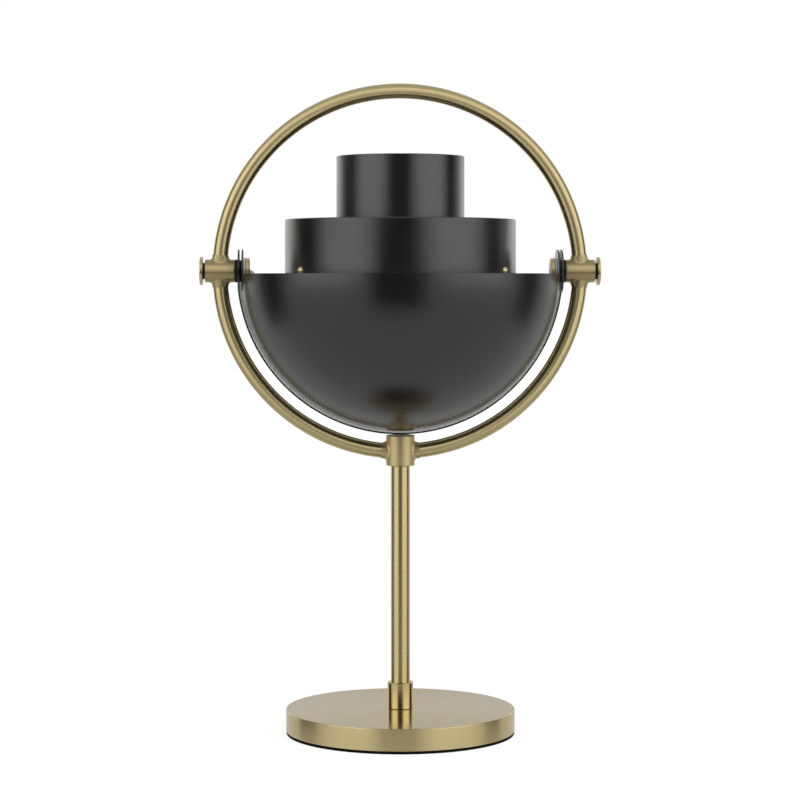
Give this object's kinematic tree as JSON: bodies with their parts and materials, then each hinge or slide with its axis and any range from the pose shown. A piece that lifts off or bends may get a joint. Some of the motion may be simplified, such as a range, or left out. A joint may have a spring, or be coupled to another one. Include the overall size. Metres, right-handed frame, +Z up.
{
  "type": "portable table lamp",
  "caption": "Portable table lamp: weighted round base, slim stem and tube ring carrying nested quarter-sphere shades that turn about a stepped drum with an LED light source.",
  "frame": {"origin": "centre of the base's underside, on the table", "axes": "+Z up along the stem, X along the shades' pivot axis, the front faces -Y"},
  "size_m": [0.2114, 0.17, 0.3409],
  "materials": {
    "satin_brass": "satin",
    "black_paint": "satin",
    "black_rubber": "matte",
    "black_nylon": "matte",
    "white_nylon": "matte",
    "plated_steel": "satin",
    "bare_aluminium": "satin",
    "opal_acrylic": "satin",
    "board_green": "satin",
    "cell_wrap": "satin",
    "wire_red": "satin",
    "led_phosphor": "satin"
  },
  "bodies": {
    "stand": {"base_shell": "satin_brass", "lower_collar": "satin_brass", "stem_tube": "satin_brass", "ring_collar": "satin_brass", "ring_upper_arc": "satin_brass", "ring_lower_left_arc": "satin_brass", "ring_lower_right_arc": "satin_brass", "left_sleeve": "satin_brass", "right_sleeve": "satin_brass", "left_pivot_knob": "satin_brass", "right_pivot_knob": "satin_brass", "pivot_nuts": "satin_brass", "drum_screws": "satin_brass", "drum_shell": "black_paint", "top_cylinder": "black_paint", "foot_pad": "black_rubber", "knob_washers": "black_nylon", "sleeve_washers": "black_nylon", "spacer_washers": "black_nylon", "tact_switch": "black_nylon", "bracket_washers": "white_nylon", "led_connector": "white_nylon", "lamp_lead": "white_nylon", "ballast_plate": "plated_steel", "ballast_plate_screws": "plated_steel", "ballast_weight": "plated_steel", "stem_nut": "plated_steel", "left_pivot_axle": "plated_steel", "right_pivot_axle": "plated_steel", "carrier_bracket": "plated_steel", "charge_port": "plated_steel", "top_cylinder_screws": "plated_steel", "led_board_screws": "plated_steel", "heat_sink": "bare_aluminium", "led_board": "bare_aluminium", "diffuser": "opal_acrylic", "control_board": "board_green", "battery_pack": "cell_wrap", "battery_lead": "wire_red", "led_chips": "led_phosphor"},
    "front_shade": {"front_shade": "black_paint"},
    "rear_shade": {"rear_shade": "black_paint"},
    "switch_button": {"switch_button": "black_nylon"}
  },
  "joints": [
    {"name": "front_shade_turn", "type": "hinge", "parent": "stand", "child": "front_shade", "pos_m": [0, 0, 0.2423], "axis": [1, 0, 0], "continuous": true},
    {"name": "rear_shade_turn", "type": "hinge", "parent": "stand", "child": "rear_shade", "pos_m": [0, 0, 0.2423], "axis": [1, 0, 0], "continuous": true},
    {"name": "button_press", "type": "slide", "parent": "stand", "child": "switch_button", "axis": [0, -1, 0], "range_m": [0, 0.0008], "stiffness_N_per_m": 1200, "springref_m": -0.0006}
  ]
}
